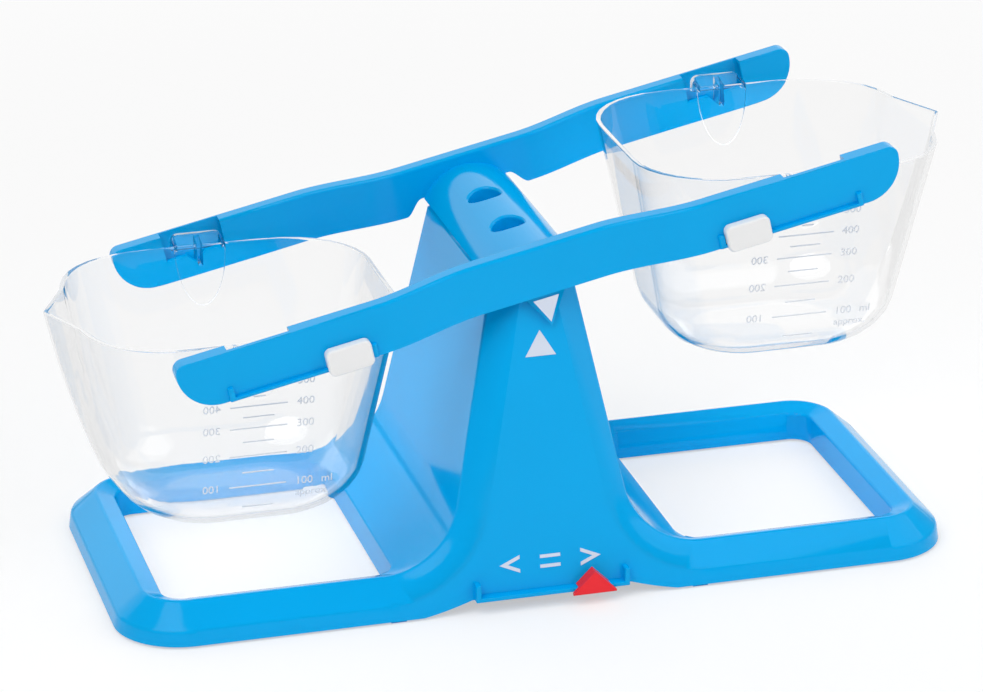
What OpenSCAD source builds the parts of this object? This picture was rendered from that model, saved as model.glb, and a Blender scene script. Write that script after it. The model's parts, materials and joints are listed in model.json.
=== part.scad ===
// Bucket balance: a moulded tower on two open foot rings carries a rocking pair of beams,
// and a clear bucket hangs in V notches at each end of them.
// Units are millimetres, +Z is up, X runs along the beams and the front faces -Y.
// The origin is on the table under the middle of the whole object. The left bucket is down.

/* [Base] */
// Length over both foot rings
base_len = 330; // [310:1:350]
// Depth over the foot rings
base_depth = 148; // [146:1:160]
// Outer corner radius of the foot rings, seen from above
corner_r = 27; // [22:1:34]
// Width of a foot ring's bar
ring_w = 19; // [16:0.5:21]
// Height of the small feet under the front and rear edges
foot_h = 1; // [0.5:0.1:2]
// Top of the bar's upright outer band
band_h = 6.8; // [5:0.1:9]
// Top of the bar's ridge
ridge_h = 15.4; // [13:0.1:18]
// Distance from the outer foot to the ridge
ridge_inset = 11; // [9:0.1:13]
// Fall from the ridge to the bar's inner edge
ridge_fall = 2.9; // [1:0.1:4]
// Distance from the middle to the openings' near edge
opening_x = 57; // [54:0.5:64]
// Wall of the hollow base moulding
shell_t = 2.2; // [1.8:0.1:2.6]

/* [Tower] */
// Half width of the tower's sides, carried down to the table
tower_half = 41.2; // [39:0.1:44]
// Inward lean of the tower's left and right sides
side_lean = 11.4; // [10.5:0.1:13]
// Backward lean of the front and rear faces
face_lean = 8.5; // [7:0.1:9.5]
// Top of the tower's walls
tower_top = 122; // [115:0.1:130]
// Width of the sloped band beside the front face
chamfer_w = 10.2; // [7:0.1:12]
// Radius of the sweep from the tower into the foot rings
sweep_r = 30; // [22:1:36]

/* [Pivot and hub] */
// Tilt at the stop, which is the pose at rest
tilt = 12; // [8:0.5:14]
// Half width of the arched hub cap
cap_half = 17.3; // [16:0.1:19]
// Rise of the arch
cap_rise = 9.3; // [8.5:0.1:11]
// Thickness of the hub cap
cap_t = 2.2; // [1.6:0.1:2.4]
// Fall from the pivot to the edge of the arch
cap_fall = 3.3; // [2.8:0.1:4]
// Diameter of the two finger holes
finger_d = 12.5; // [10:0.5:16]
// Place of a finger hole as a share of the way from the middle to the hub's end
finger_share = 0.326; // [0.28:0.002:0.42]
// Diameter of the steel pivot pin
axle_d = 4; // [3:0.1:4.4]

/* [Beams] */
// Distance from the pivot to a bucket's hanging point
hang_u = 109.8; // [104:0.1:116]
// Length of beam past the hanging point
beam_end = 32.9; // [26:0.1:36]
// Height of a beam
beam_h = 19.5; // [19.2:0.1:22]
// Top of the beam above the pivot
beam_above = 10.4; // [10:0.1:12]
// Width across a beam's channel
beam_t = 7.2; // [7:0.1:8.4]
// Wall of the channel
wall_t = 2; // [1.8:0.1:2.1]
// Where the bow in the beam starts, from the middle
bow_start = 25; // [20:0.5:32]
// Where the bow ends
bow_stop = 65; // [56:0.5:70]
// Radius of the beam's lower end corner
end_low_r = 15; // [10:0.5:15]
// Radius of the beam's upper end corner
end_top_r = 4; // [3:0.1:4.2]
// Length of the pocket for a bucket's lug
pocket_len = 24.3; // [23.5:0.1:30]
// Included angle of the V notch
vee_angle = 78; // [60:1:90]
// Fall from the pivot to the hanging axis
hang_fall = 2.7; // [2:0.1:4]
// Fall from the pivot to the pointer's tip
pointer_fall = 22; // [18:0.1:26]
// Half width of the pointer where it leaves the beam
pointer_half = 7.7; // [6:0.1:11]

/* [Sliders and rails] */
// Length of a beam's slider rail
rail_len = 58; // [50:0.5:58.5]
// How far the rail stands out of the beam
rail_out = 1.8; // [1.5:0.1:3]
// Thickness of the rail
rail_t = 1.6; // [1.2:0.1:2.2]
// Height of the rail's end stops
stop_h = 5.6; // [4:0.1:7]
// Length of a slider
slider_len = 17.6; // [14:0.1:22]
// Height of a slider
slider_h = 10.4; // [9.6:0.1:12.6]
// Thickness of a slider's face
slider_t = 2.4; // [2:0.1:3.4]

/* [Marker] */
// Half length of the marker's rail on the base
guide_half = 30.4; // [28:0.1:34]
// Height of the rail's end stops
guide_stop_h = 7.2; // [5:0.1:9]
// Where the marker stands, from the middle
marker_x = 16; // [-16:1:16]
// Width of the marker
marker_w = 17; // [14:0.5:20]
// Height of the marker's triangle
marker_h = 8.4; // [7:0.1:10]

/* [Buckets] */
// Half length of the rim, without the spout
rim_half_len = 61; // [57:0.5:64]
// Half width of the rim
rim_half_w = 56; // [55:0.5:57]
// Corner radius of the rim
rim_r = 34; // [28:0.5:38]
// Outside depth from rim to bottom
bucket_depth = 83.7; // [78:0.1:88]
// Inward lean of the walls
wall_lean = 11.4; // [9:0.1:12.5]
// Radius between wall and bottom
bottom_r = 18.5; // [14:0.5:21]
// Wall of a bucket
bucket_wall = 1.8; // [1.4:0.1:2.2]
// How far the spout stands out of the rim
spout_len = 10.8; // [7:0.1:13]
// Half width of the spout at the rim
spout_half = 24; // [18:0.5:27]
// Height of the rim above the hanging axis
rim_above = 7.6; // [6.6:0.1:8]
// Width of a lug's plate
lug_w = 20.5; // [18:0.1:21.5]
// Height of a lug's plate above the rim
lug_above = 2.4; // [1.8:0.1:3.4]

/* [Hidden] */
$fn = 48;

// Overrun of every cut
cut = 1;
// Running gap between pieces that move on each other
gap = 0.3;
// Clearance of pegs and pins in their seats
seat_clear = 0.04;
// Thickness of the printed marks
print_t = 0.2;
// Points along a sweep, along a bow and along a bucket's corner
sweep_n = 12;
bow_n = 14;
corner_n = 8;
// Colours
blue = [0.02, 0.60, 0.92];
white = [0.95, 0.95, 0.95];
red = [0.90, 0.13, 0.18];
steel = [0.70, 0.72, 0.75];
clear = [0.85, 0.90, 0.95, 0.35];

// Base: derived places
side_slope = tan(side_lean);
face_slope = tan(face_lean);
edge_h = ridge_h - ridge_fall;
half_len = base_len / 2;
half_depth = base_depth / 2;
leg_end = half_len - corner_r;
opening_out = half_len - ring_w;
opening_half = half_depth - ring_w;
opening_r = corner_r - ring_w;
ridge_step = ridge_inset - face_slope * ridge_h;
edge_step = ridge_y(edge_h) - opening_half;
// Shares of the wall by which the hollow's edges step in from the outer ones
hollow_band_share = 0.85;
hollow_ridge_share = 1.2;
hollow_side_share = 0.4;
// Raised middle of the front and rear lower edges
arch_h = 5.6;
arch_side = 1.4;
arch_half = guide_half + arch_side;
arch_run = 28;
arch_power = 1.6;
foot_l = 6;
foot_w = 3;
foot_x = arch_half + arch_run;
// Marker rail on the front face
guide_out = 3.2;
guide_t = 1.8;
guide_stop_w = 2;
// Marker's front plate and the lip under the rail
marker_t = 1.6;
marker_lip = 0.7;

// Pivot: the tower's top is the stop for the edge of the cap
stop_gap = 1.4;
pivot_z = tower_top + stop_gap + cap_half * sin(tilt) + cap_fall * cos(tilt);
cap_r = (cap_half * cap_half + cap_rise * cap_rise) / (2 * cap_rise);
cap_top = cap_rise - cap_fall;
cap_centre = cap_top - cap_r;
axle_r = axle_d / 2;
// Blind cups under the finger holes
cup_t = 1.4;
cup_floor = -5;
// Hub ends and the posts that carry the pin
pointer_gap = 0.7;
pointer_t = 1.4;
pointer_sink = 0.1;
mid_outer = front_y(pivot_z - pointer_fall) + pointer_gap + pointer_t;
hub_half = mid_outer - beam_t;
finger_y = finger_share * hub_half;
plate_t = 3.2;
plate_half = 6.5;
plate_fall = 4.6;
boss_r = axle_r + wall_t;
boss_len = 4;
peg_r = 2;
peg_u = 8;
saddle_len = 8;
saddle_half = 5;
saddle_top = 0.7;
saddle_fall = 6;
saddle_seat = 3;
side_play = 0.5;
saddle_y = hub_half - plate_t - boss_len - side_play - saddle_len / 2;
post_t = 4;
post_half = saddle_half;
web_low = 70;
web_top = 109;

// Beams: heights are from the pivot, u runs along the beam
rim_gap = 4.4;
end_outer = rim_half_w + rim_gap + beam_t;
beam_half = hang_u + beam_end;
beam_low = beam_above - beam_h;
notch_w = -cap_fall + gap;
notch_half = cap_half + wall_t / 2;
notch_run = 7.5;
sill_w = 0;
tip_r = 1.1;
tip_gap = 0.2;
vee_drop = (tip_r + tip_gap) / sin(vee_angle / 2);
rail_gap = 2.6;
rail_in = bow_stop + rail_gap;
rail_end = rail_in + rail_len;
stop_w = 2.2;
slider_u = rail_in + stop_w + gap;
slider_r = 2.4;
pointer_mark_inset = 1.2;
hook_t = 1.4;
hook_h = 5;
lip_t = 1;

// Buckets: heights are from the hanging axis
wall_slope = tan(wall_lean);
// Power of the spout's fade from the rim to the floor
spout_fade = 2.2;
wall_n = 6;
corner_shrink_share = 0.07;
corner_round_share = 0.7;
lug_t = 1.8;
lug_y = rim_half_w + rim_gap + wall_t + gap + lug_t;
lug_r = 3;
lug_below = 4;
side_rib_t = 1.4;
side_rib_h = 2.2;
lug_drop = 0.6;
pad_t = 0.8;
pad_h = 24;
// Graduation lines: depths below the rim as shares of the bucket's depth, long and short in turn
mark_shares = [0.211, 0.265, 0.319, 0.376, 0.434, 0.506, 0.578, 0.667, 0.741, 0.848];
mark_long = 22;
mark_short = 12;
mark_h = 0.6;

function clamp01(t) = max(0, min(1, t));
function smooth(t) = t * t * (3 - 2 * t);
function arc(c, r, a, b, n) = [for (i = [0:n])
    let (turn = a + (b - a) * i / n)
    c + r * [cos(turn), sin(turn)]];
function flip(points) = [for (i = [len(points) - 1:-1:0]) [-points[i].x, points[i].y]];
function front_y(z) = half_depth - face_slope * z;
function ridge_y(z) = front_y(z) - ridge_step;
function side_x(z) = tower_half - side_slope * z;

// Closed band of triangles between rings of n points, m rings from index first
function bands(n, m, first, outward) = [for (j = [0:m - 2]) for (i = [0:n - 1])
    let (a = first + j * n + i, b = first + j * n + (i + 1) % n)
    each outward ? [[a, b, b + n], [a, b + n, a + n]] : [[a, b + n, b], [a, a + n, b + n]]];
// Triangles across a ring of n points, all from its point k
function fan(n, first, k, up) = [for (i = [1:n - 2])
    let (a = first + k, b = first + (k + i) % n, c = first + (k + i + 1) % n)
    up ? [a, c, b] : [a, b, c]];
// Triangles across a base outline, in strips between its right and left halves
function strips(n, first, rear) =
    let (low = [[0, 1, 2], [0, 2, n - 3], [0, n - 3, n - 1], [n - 1, n - 3, n - 2]],
        high = [for (i = [2:n / 2 - 2]) each [[i, i + 1, n - 2 - i], [i, n - 2 - i, n - 1 - i]]])
    [for (t = concat(low, high)) rear ? [first + t[0], first + t[1], first + t[2]]
        : [first + t[2], first + t[1], first + t[0]]];

// Front outline of the base at one depth: foot bar at height h, sweep, tower side set in by inset
function base_outline(h, inset, r, low, top, fall) =
    let (cz = h + r,
        cx = side_x(cz) - inset + r * sqrt(1 + side_slope * side_slope),
        sweep = arc([cx, cz], r, 270, 180 + side_lean, sweep_n),
        half = concat([[leg_end, low], [leg_end, h]], sweep, [[side_x(top) - inset, top]]),
        drop = [for (i = [0:len(half) - 1])
            let (k = i == 0 ? 0 : i < 3 ? 1 : smooth(clamp01(1 - 2 * (i - 2) / sweep_n)))
            half[i] - [0, fall * k]])
    concat(drop, flip(drop));

// Base body between the two corner pairs, as rings of points at six depths, front to rear.
// A wall of t gives the hollow inside it.
module base_body(t) {
    low = t > 0 ? -cut : foot_h;
    top = t > 0 ? tower_top + cut : tower_top;
    face = base_outline(band_h - hollow_band_share * t, chamfer_w + hollow_side_share * t,
        sweep_r + chamfer_w + t, low, top, 0);
    ridge = base_outline(ridge_h - hollow_ridge_share * t, t, sweep_r + t, low, top, 0);
    edge = base_outline(ridge_h - hollow_ridge_share * t, t, sweep_r + t, low, top, ridge_fall);
    step = hollow_side_share * t;
    rings = [
        [for (p = face) [p.x, -(front_y(p.y) - t), p.y]],
        [for (p = ridge) [p.x, -(ridge_y(p.y) - step), p.y]],
        [for (p = edge) [p.x, -(ridge_y(p.y) - edge_step - step), p.y]],
        [for (p = edge) [p.x, ridge_y(p.y) - edge_step - step, p.y]],
        [for (p = ridge) [p.x, ridge_y(p.y) - step, p.y]],
        [for (p = face) [p.x, front_y(p.y) - t, p.y]]];
    n = len(face);
    polyhedron([for (ring = rings) each ring],
        concat(bands(n, len(rings), 0, true), strips(n, 0, false), strips(n, (len(rings) - 1) * n, true)));
}

// Section of a foot ring's bar, measured outwards from the centre of its corner
module bar_section(t) {
    low = t > 0 ? -cut : foot_h;
    band = band_h - hollow_band_share * t;
    ridge = ridge_h - hollow_ridge_share * t;
    edge = edge_h - hollow_ridge_share * t;
    c = half_depth - corner_r;
    polygon([[front_y(low) - t - c, low], [front_y(band) - t - c, band],
        [ridge_y(ridge) - hollow_side_share * t - c, ridge],
        [opening_r + t, edge], [opening_r + t, low]]);
}

// End of one foot ring: two corners and the bar between them
module ring_end(t) {
    run = half_depth - corner_r;
    for (side = [-1, 1])
        translate([leg_end, side * run, 0])
            rotate([0, 0, side > 0 ? 0 : -90])
                rotate_extrude(angle = 90) bar_section(t);
    translate([leg_end, run, 0])
        rotate([90, 0, 0])
            linear_extrude(2 * run) bar_section(t);
}

// Both ends, each reaching into the body by a little so that they join
module ring_ends(t) {
    ring_end(t);
    rotate([0, 0, 180]) ring_end(t);
}

module round_box(x0, x1, half_y, r) {
    translate([x0 + r, -half_y]) square([x1 - x0 - 2 * r, 2 * half_y]);
    translate([x0, -half_y + r]) square([x1 - x0, 2 * half_y - 2 * r]);
    for (x = [x0 + r, x1 - r])
        for (y = [-half_y + r, half_y - r])
            translate([x, y]) circle(r);
}

// Opening of a foot ring, grown by t
module openings(t) {
    for (turn = [0, 180])
        rotate([0, 0, turn])
            translate([0, 0, -2 * cut])
                linear_extrude(tower_top / 2)
                    round_box(opening_x - t, opening_out + t, opening_half + t, opening_r + t);
}

// Lower edge of the front and rear walls, raised between the rings
module arch_cut() {
    run = [for (i = [0:bow_n]) [arch_half + arch_run * i / bow_n, arch_h * pow(1 - i / bow_n, arch_power)]];
    points = concat(run, [[arch_half + arch_run, -cut]], [[-arch_half - arch_run, -cut]], flip(run));
    for (turn = [0, 180])
        rotate([0, 0, turn])
            translate([0, -half_depth + ridge_inset, 0])
                rotate([90, 0, 0])
                    linear_extrude(half_depth) polygon(points);
}

// Web across the tower with a post on it that carries a saddle
module post(y) {
    in_wall = shell_t / 2;
    web = [[side_x(web_low) - in_wall, web_low], [side_x(web_top) - in_wall, web_top],
        [post_half, web_top], [post_half, pivot_z - saddle_fall]];
    translate([0, y + post_t / 2, 0])
        rotate([90, 0, 0])
            linear_extrude(post_t) polygon(concat(web, flip(web)));
}

module guide_rail() {
    back = front_y(arch_h) - shell_t / 2;
    out = front_y(arch_h) + guide_out;
    translate([-guide_half, -out, arch_h]) cube([2 * guide_half, out - back, guide_t]);
    for (x = [-guide_half, guide_half - guide_stop_w])
        translate([x, -out, arch_h]) cube([guide_stop_w, out - back, guide_stop_h]);
}

module feet() {
    for (x = [-foot_x, foot_x])
        for (y = [-half_depth + foot_w, half_depth - foot_w])
            translate([x - foot_l / 2, y - foot_w / 2, 0]) cube([foot_l, foot_w, ridge_h / 2]);
}

module base_shell() placed() color(blue) {
    difference() {
        union() {
            base_body(0);
            ring_ends(0);
        }
        openings(0);
        difference() {
            union() {
                base_body(shell_t);
                ring_ends(shell_t);
            }
            openings(shell_t);
        }
        arch_cut();
    }
    for (y = [-saddle_y, saddle_y]) post(y);
    guide_rail();
    feet();
}

// Bearing block that sits astride a post, with an open half-round seat for the pin
module saddle(y) {
    translate([0, y + saddle_len / 2, pivot_z])
        rotate([90, 0, 0])
            difference() {
                linear_extrude(saddle_len)
                    difference() {
                        translate([-saddle_half, -saddle_fall - saddle_seat])
                            square([2 * saddle_half, saddle_fall + saddle_seat + saddle_top]);
                        circle(axle_r + seat_clear);
                        translate([-axle_r - seat_clear, 0]) square([2 * (axle_r + seat_clear), axle_r]);
                    }
                translate([-saddle_half - cut, -saddle_fall - saddle_seat - cut,
                    (saddle_len - post_t) / 2 - seat_clear])
                    cube([2 * (saddle_half + cut), saddle_seat + cut, post_t + 2 * seat_clear]);
            }
}

module front_saddle() placed() color(white) saddle(-saddle_y);

module rear_saddle() placed() color(white) saddle(saddle_y);

// Places a flat print on the leaning front face at height z
module on_face(z) {
    translate([0, -front_y(z), z])
        rotate([90 - face_lean, 0, 0])
            linear_extrude(print_t) children();
}

triangle_h = 10;
triangle_half = 6;
triangle_z = 97;
sign_z = 17.8;
sign_w = 8;
sign_h = 7;
sign_step = 16;
stroke = 1.3;

module balance_mark() placed() color(white)
    on_face(triangle_z) polygon([[-triangle_half, 0], [triangle_half, 0], [0, triangle_h]]);

// Chevron that points to +X
module chevron() {
    rise = sign_h / 2;
    s = stroke * sqrt(1 + pow(rise / sign_w, 2));
    tip = stroke * sqrt(1 + pow(sign_w / rise, 2));
    polygon([[-sign_w / 2, rise], [sign_w / 2, 0], [-sign_w / 2, -rise], [-sign_w / 2, s - rise],
        [sign_w / 2 - tip, 0], [-sign_w / 2, rise - s]]);
}

module less_sign() placed() color(white)
    on_face(sign_z) translate([-sign_step, 0]) rotate(180) chevron();

module equals_sign() placed() color(white)
    on_face(sign_z)
        for (y = [-3 * stroke / 2, 3 * stroke / 2])
            translate([-sign_w / 2, y - stroke / 2]) square([sign_w, stroke]);

module greater_sign() placed() color(white)
    on_face(sign_z) translate([sign_step, 0]) chevron();

// Red clip: a triangular face with a foot along its base, hooked round the rail and the wall behind it
module answer_marker() placed() color(red) {
    out = front_y(arch_h) + guide_out + gap;
    low = arch_h - gap - marker_lip;
    back = front_y(low + hook_h) - shell_t - gap - hook_t;
    head_z = arch_h + guide_t + gap;
    head_half = marker_w / 2 * (1 - (head_z - arch_h) / marker_h);
    translate([marker_x, 0, 0]) {
        translate([0, -out, arch_h])
            rotate([90, 0, 0])
                linear_extrude(marker_t) polygon([[-marker_w / 2, 0], [marker_w / 2, 0], [0, marker_h]]);
        translate([0, -front_y(head_z) - gap, 0])
            rotate([90, 0, 0])
                linear_extrude(out - front_y(head_z) - gap + marker_t / 2)
                    polygon([[-head_half, head_z], [head_half, head_z], [0, arch_h + marker_h]]);
        translate([-marker_w / 2, -out - marker_t, low]) cube([marker_w, marker_t, marker_lip + gap]);
        translate([-marker_w / 4, -out - marker_t, low])
            cube([marker_w / 2, out + marker_t - back, marker_lip]);
        translate([-marker_w / 4, -back - hook_t, low]) cube([marker_w / 2, hook_t, hook_h]);
    }
}

// Places what moves with the beams, drawn from the pivot with the beams level
module on_beam() {
    translate([0, 0, pivot_z]) rotate([0, -tilt, 0]) children();
}

// Outer face of a beam in plan: nearer the middle plane at the hub than at the buckets
function outer_y(u) =
    let (t = clamp01((abs(u) - bow_start) / (bow_stop - bow_start)))
    mid_outer + (end_outer - mid_outer) * smooth(t);

bow_u = concat([beam_half + cut], [for (i = [bow_n:-1:0]) bow_start + (bow_stop - bow_start) * i / bow_n]);
beam_u = concat([for (u = bow_u) -u], [for (i = [len(bow_u) - 1:-1:0]) bow_u[i]]);

// Strip between two depths inside the beam's outer face
module beam_strip(from, to) {
    translate([0, 0, beam_low - beam_h])
        linear_extrude(3 * beam_h)
            polygon(concat([for (u = beam_u) [u, -outer_y(u) + from]],
                [for (i = [len(beam_u) - 1:-1:0]) [beam_u[i], -outer_y(beam_u[i]) + to]]));
}

// Side view of a beam, set in by t at the ends and the top, extruded across the beam
module beam_side(t) {
    start = t > 0 ? -80 : -90;
    half = concat(
        arc([beam_half - end_low_r, beam_low + end_low_r], end_low_r - t, start, 0, sweep_n),
        arc([beam_half - end_top_r, beam_above - end_top_r], end_top_r - t, 0, 90, sweep_n));
    foot = t > 0 ? [[half[0].x, beam_low - cut]] : [];
    rotate([90, 0, 0])
        translate([0, 0, -end_outer])
            linear_extrude(3 * end_outer) polygon(concat(foot, half, flip(half), flip(foot)));
}

// Cuts from side-view points through the depths between from and to inside the outer face
module side_cut(points, from, to) {
    intersection() {
        beam_strip(from, to);
        rotate([90, 0, 0]) translate([0, 0, -cut]) linear_extrude(end_outer + 2 * cut) polygon(points);
    }
}

// Channel of one beam, for the front side. Its notch over the cap starts at a depth inside the outer face.
module beam_channel(notch_from) {
    inner = beam_t - wall_t;
    apex = -hang_fall - vee_drop;
    vee = (sill_w - apex) * tan(vee_angle / 2);
    notch = [for (i = [0:bow_n])
        [notch_half + notch_run * i / bow_n, notch_w - (notch_w - beam_low) * smooth(i / bow_n)]];
    notch_side = concat([[notch_half + notch_run, beam_low - cut]], [for (i = [bow_n:-1:0]) notch[i]]);
    difference() {
        intersection() {
            beam_strip(0, beam_t);
            beam_side(0);
        }
        intersection() {
            beam_strip(wall_t, inner);
            beam_side(wall_t);
        }
        side_cut(concat(notch_side, flip(notch_side)), notch_from, beam_t + cut);
        for (side = [-1, 1]) {
            a = side * hang_u - pocket_len / 2;
            b = side * hang_u + pocket_len / 2;
            h = side * hang_u;
            side_cut([[a, sill_w], [h - vee, sill_w], [h, apex], [h + vee, sill_w], [b, sill_w],
                [b, beam_above + cut], [a, beam_above + cut]], wall_t, beam_t + cut);
            translate([side * peg_u, -hub_half + cut, 0])
                rotate([90, 0, 0]) cylinder(r = peg_r + seat_clear, h = wall_t + 2 * cut);
        }
        translate([0, -hub_half + cut, 0])
            rotate([90, 0, 0]) cylinder(r = axle_r + seat_clear, h = wall_t + 2 * cut);
    }
}

// Rail with its end stops on the front beam, for the right side
module beam_rail() {
    y = -end_outer - rail_out;
    translate([rail_in, y, beam_low]) cube([rail_len, rail_out + wall_t / 2, rail_t]);
    for (u = [rail_in, rail_end - stop_w])
        translate([u, y, beam_low]) cube([stop_w, rail_out + wall_t / 2, stop_h]);
}

module pointer_tab() {
    top = beam_low + 2 * wall_t;
    half = pointer_half * (pointer_fall + top) / (pointer_fall + beam_low);
    translate([0, -mid_outer + pointer_t, 0])
        rotate([90, 0, 0])
            linear_extrude(pointer_t - pointer_sink)
                polygon([[-half, top], [half, top], [0, -pointer_fall]]);
}

module front_beam() placed() color(blue) on_beam() {
    beam_channel(beam_t - wall_t - cut);
    beam_rail();
    mirror([1, 0, 0]) beam_rail();
    pointer_tab();
}

module rear_beam() placed() color(blue) on_beam() mirror([0, 1, 0]) beam_channel(-cut);

module pointer_mark() placed() color(white) on_beam() {
    reach = pointer_fall + beam_low;
    half = pointer_half * (1 - pointer_mark_inset * 2 / reach) - pointer_mark_inset;
    translate([0, -mid_outer + pointer_sink, 0])
        rotate([90, 0, 0])
            linear_extrude(print_t)
                polygon([[-half, beam_low - pointer_mark_inset], [half, beam_low - pointer_mark_inset],
                    [0, pointer_mark_inset * 1.5 - pointer_fall]]);
}

// Segment of a disc above the cap's edge, the section of the arch
module cap_section(r) {
    intersection() {
        translate([0, cap_centre]) circle(r, $fn = 96);
        translate([-cap_r, -cap_fall]) square([2 * cap_r, cap_rise + cut]);
    }
}

// Extrudes a side-view outline across the hub, half a length to each side
module across(half) {
    translate([0, half, 0])
        rotate([90, 0, 0])
            linear_extrude(2 * half) children();
}

module hub_cap() placed() color(blue) on_beam() {
    difference() {
        union() {
            difference() {
                across(hub_half) cap_section(cap_r);
                across(hub_half - plate_t)
                    intersection() {
                        translate([0, cap_centre]) circle(cap_r - cap_t, $fn = 96);
                        translate([-cap_r, -cap_fall - cut]) square([2 * cap_r, 2 * cap_rise]);
                    }
            }
            for (y = [-finger_y, finger_y])
                intersection() {
                    translate([0, y, cup_floor - cup_t])
                        cylinder(d = finger_d + 2 * cup_t, h = cap_rise + cap_fall);
                    across(hub_half) translate([0, cap_centre]) circle(cap_r, $fn = 96);
                }
            for (side = [-1, 1])
                translate([0, side * (hub_half - plate_t / 2), 0]) {
                    translate([-plate_half, -plate_t / 2, -plate_fall])
                        cube([2 * plate_half, plate_t, plate_fall]);
                    rotate([side * 90, 0, 0])
                        cylinder(r = boss_r, h = plate_t / 2 + boss_len);
                    for (u = [-peg_u, peg_u])
                        translate([u, 0, 0])
                            rotate([-side * 90, 0, 0]) cylinder(r = peg_r, h = plate_t / 2 + wall_t);
                }
        }
        for (y = [-finger_y, finger_y])
            translate([0, y, cup_floor]) cylinder(d = finger_d, h = cap_rise + cap_fall);
        for (side = [-1, 1])
            translate([0, side * (hub_half + cut), 0])
                rotate([side * 90, 0, 0])
                    cylinder(r = axle_r + seat_clear, h = plate_t + boss_len + 2 * cut);
    }
}

// Pin through the beam's inner wall, the hub and the saddle on one side
module pin(side) {
    inner = saddle_y - saddle_len / 2;
    on_beam()
        translate([0, side * inner, 0])
            rotate([-side * 90, 0, 0]) cylinder(r = axle_r, h = hub_half + wall_t - inner);
}

module front_pin() placed() color(steel) pin(-1);

module rear_pin() placed() color(steel) pin(1);

// White clip that wraps the rail and the wall behind it, for the right side
module slider() {
    low = beam_low - gap - lip_t;
    out = end_outer + rail_out + gap;
    back = end_outer - wall_t - gap - hook_t;
    head = beam_low + rail_t + gap;
    translate([slider_u, 0, 0])
        intersection() {
            translate([0, 0, low + slider_h / 2])
                rotate([90, 0, 0])
                    linear_extrude(out + slider_t) round_box(0, slider_len, slider_h / 2, slider_r);
            union() {
                translate([0, -out - slider_t, low]) cube([slider_len, slider_t, slider_h]);
                translate([0, -out - slider_t / 2, head])
                    cube([slider_len, out + slider_t / 2 - end_outer - gap, slider_h - (head - low)]);
                translate([0, -out - slider_t / 2, low])
                    cube([slider_len, out + slider_t / 2 - back, lip_t]);
                translate([0, -back - hook_t, low]) cube([slider_len, hook_t, hook_h]);
            }
        }
}

module right_slider() placed() color(white) on_beam() slider();

module left_slider() placed() color(white) on_beam() mirror([1, 0, 0]) slider();

// Bucket: depths below the rim at which a ring of points is placed
round_n = 6;
function ring_depths(t) =
    let (floor_d = bucket_depth - t, r = bottom_r - t, straight = floor_d - r)
    concat([for (i = [0:wall_n - 1]) straight * i / wall_n],
        [for (i = [0:round_n]) straight + r * sin(90 * i / round_n)]);

// Outline at one depth, counter-clockwise from the middle of the spout end
function bucket_ring(d, t) =
    let (r_b = bottom_r - t,
        s = clamp01((d - (bucket_depth - t - r_b)) / r_b),
        inset = d * wall_slope + r_b * (1 - sqrt(1 - s * s)) + t,
        a = rim_half_len - inset,
        b = rim_half_w - inset,
        r = rim_r - corner_shrink_share * d - corner_round_share * (inset - d * wall_slope),
        spout = spout_len * (1 - pow(d / bucket_depth, spout_fade)),
        flat = b - r,
        end_pts = [for (i = [1:3]) [a, flat * i / 3]],
        corner = arc([a - r, flat], r, 0, 90, corner_n),
        quarter = concat([[a, 0]], end_pts, [for (i = [1:corner_n]) corner[i]]),
        upper = concat(quarter, [for (i = [len(quarter) - 1:-1:1]) [-quarter[i].x, quarter[i].y]]),
        around = concat(upper, [for (p = upper) [-p.x, -p.y]]))
    [for (p = around)
        let (out = p.x > 0 ? spout * max(0, 1 - abs(p.y) / spout_half) : 0)
        [p.x + out, p.y, rim_above - d]];

module bucket_shell() {
    outer = ring_depths(0);
    inner = ring_depths(bucket_wall);
    m = len(outer);
    n = len(bucket_ring(0, 0));
    first = m * n;
    rim = [for (i = [0:n - 1]) let (j = (i + 1) % n) each [[i, first + i, first + j], [i, first + j, j]]];
    polyhedron(
        concat([for (d = outer) each bucket_ring(d, 0)],
            [for (d = inner) each bucket_ring(d, bucket_wall)]),
        concat(bands(n, m, 0, true), bands(n, m, first, false), rim,
            fan(n, first - n, corner_n, false), fan(n, 2 * first - n, corner_n, true)));
}

// Rib between a bucket's wall and the lug's plate, from x on and w wide, with a top that falls to the rim
module lug_rib(x, w, low) {
    root = rim_half_w - bucket_wall;
    plate_y = lug_y - lug_t / 2;
    translate([x, 0, 0])
        rotate([90, 0, 90])
            linear_extrude(w)
                polygon([[-root, low], [-root, rim_above], [-plate_y, rim_above + lug_above - lug_drop],
                    [-plate_y, low]]);
}

// Front view of a lug, with its upper corners rounded
module lug_outline() {
    low = rim_above - lug_below;
    full_h = lug_above + lug_below;
    translate([-lug_w / 2, low]) square([lug_w, full_h - lug_r]);
    translate([lug_r - lug_w / 2, low]) square([lug_w - 2 * lug_r, full_h]);
    for (x = [lug_r - lug_w / 2, lug_w / 2 - lug_r])
        translate([x, low + full_h - lug_r]) circle(lug_r);
}

// Hanging lug on the front wall: a plate in the beam's channel on three ribs, and a pad below it
module lug() {
    root = rim_half_w - bucket_wall;
    reach = lug_y - root;
    translate([0, -lug_y + lug_t, 0])
        rotate([90, 0, 0])
            linear_extrude(lug_t) lug_outline();
    intersection() {
        translate([0, -root, 0])
            rotate([90, 0, 0])
                linear_extrude(reach) lug_outline();
        for (x = [-lug_w / 2, lug_w / 2 - side_rib_t]) lug_rib(x, side_rib_t, rim_above - side_rib_h);
    }
    lug_rib(-tip_r, 2 * tip_r, 0);
    translate([0, -root, 0]) rotate([90, 0, 0]) cylinder(r = tip_r, h = reach - lug_t / 2);
    on_wall(0, pad_t)
        polygon([for (i = [0:2 * sweep_n])
            let (turn = 90 * i / sweep_n)
            [-lug_w / 2 * cos(turn), -pad_h * sin(turn)]]);
}

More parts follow.
